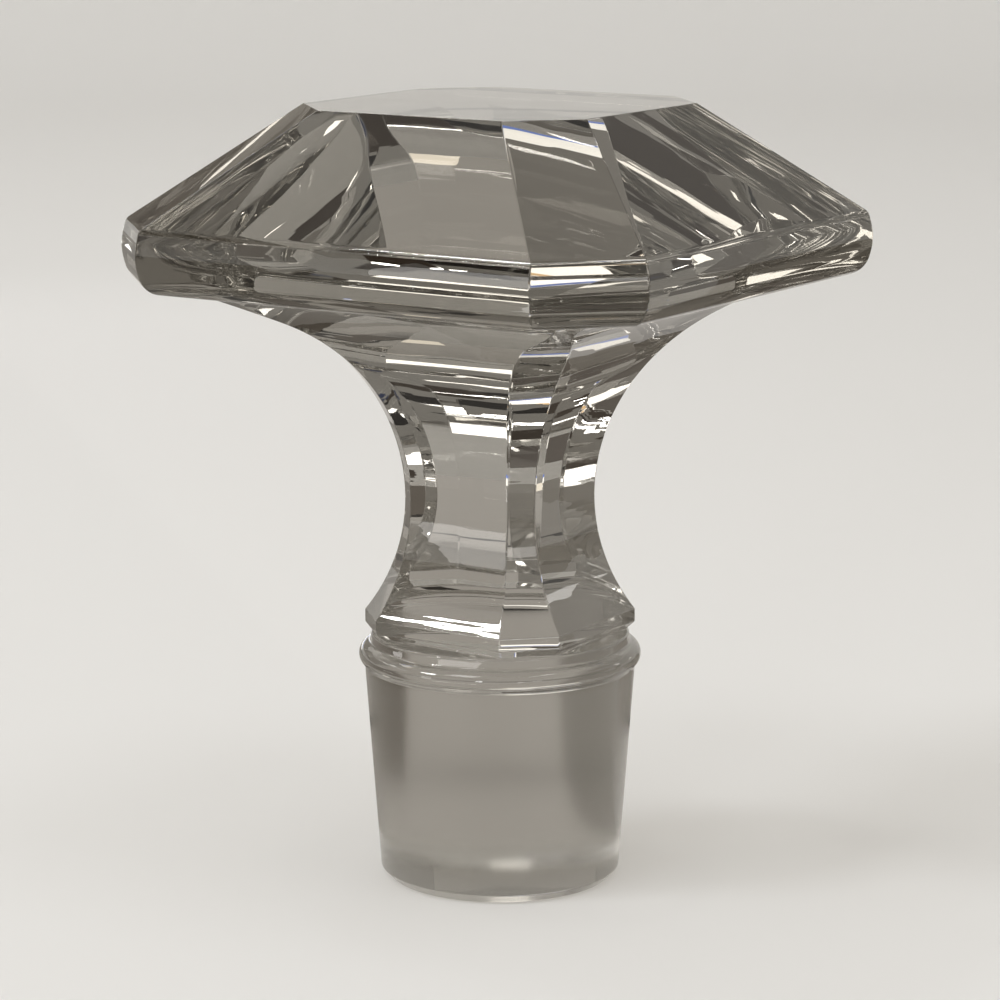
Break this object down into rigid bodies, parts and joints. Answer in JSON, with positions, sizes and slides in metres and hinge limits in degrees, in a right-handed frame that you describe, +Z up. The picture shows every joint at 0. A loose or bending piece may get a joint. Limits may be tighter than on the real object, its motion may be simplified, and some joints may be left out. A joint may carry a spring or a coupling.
{
  "type": "cut glass decanter stopper",
  "caption": "Solid clear cut glass decanter stopper: square faceted head with cut corners, scooped neck, flared foot, round collar and a ground tapered plug.",
  "frame": {"origin": "centre of the flat end of the plug, on the surface it stands on", "axes": "+Z up the stopper's axis from the plug to the table of the head; X and Y square to the wide flats of the head"},
  "size_m": [0.0508, 0.0508, 0.066],
  "materials": {
    "cut_glass": "clear colourless crystal with polished flat facets and crisp arrises; the tapered plug has a fine satin ground finish"
  },
  "bodies": {
    "root": {"stopper": "cut_glass"}
  },
  "joints": []
}
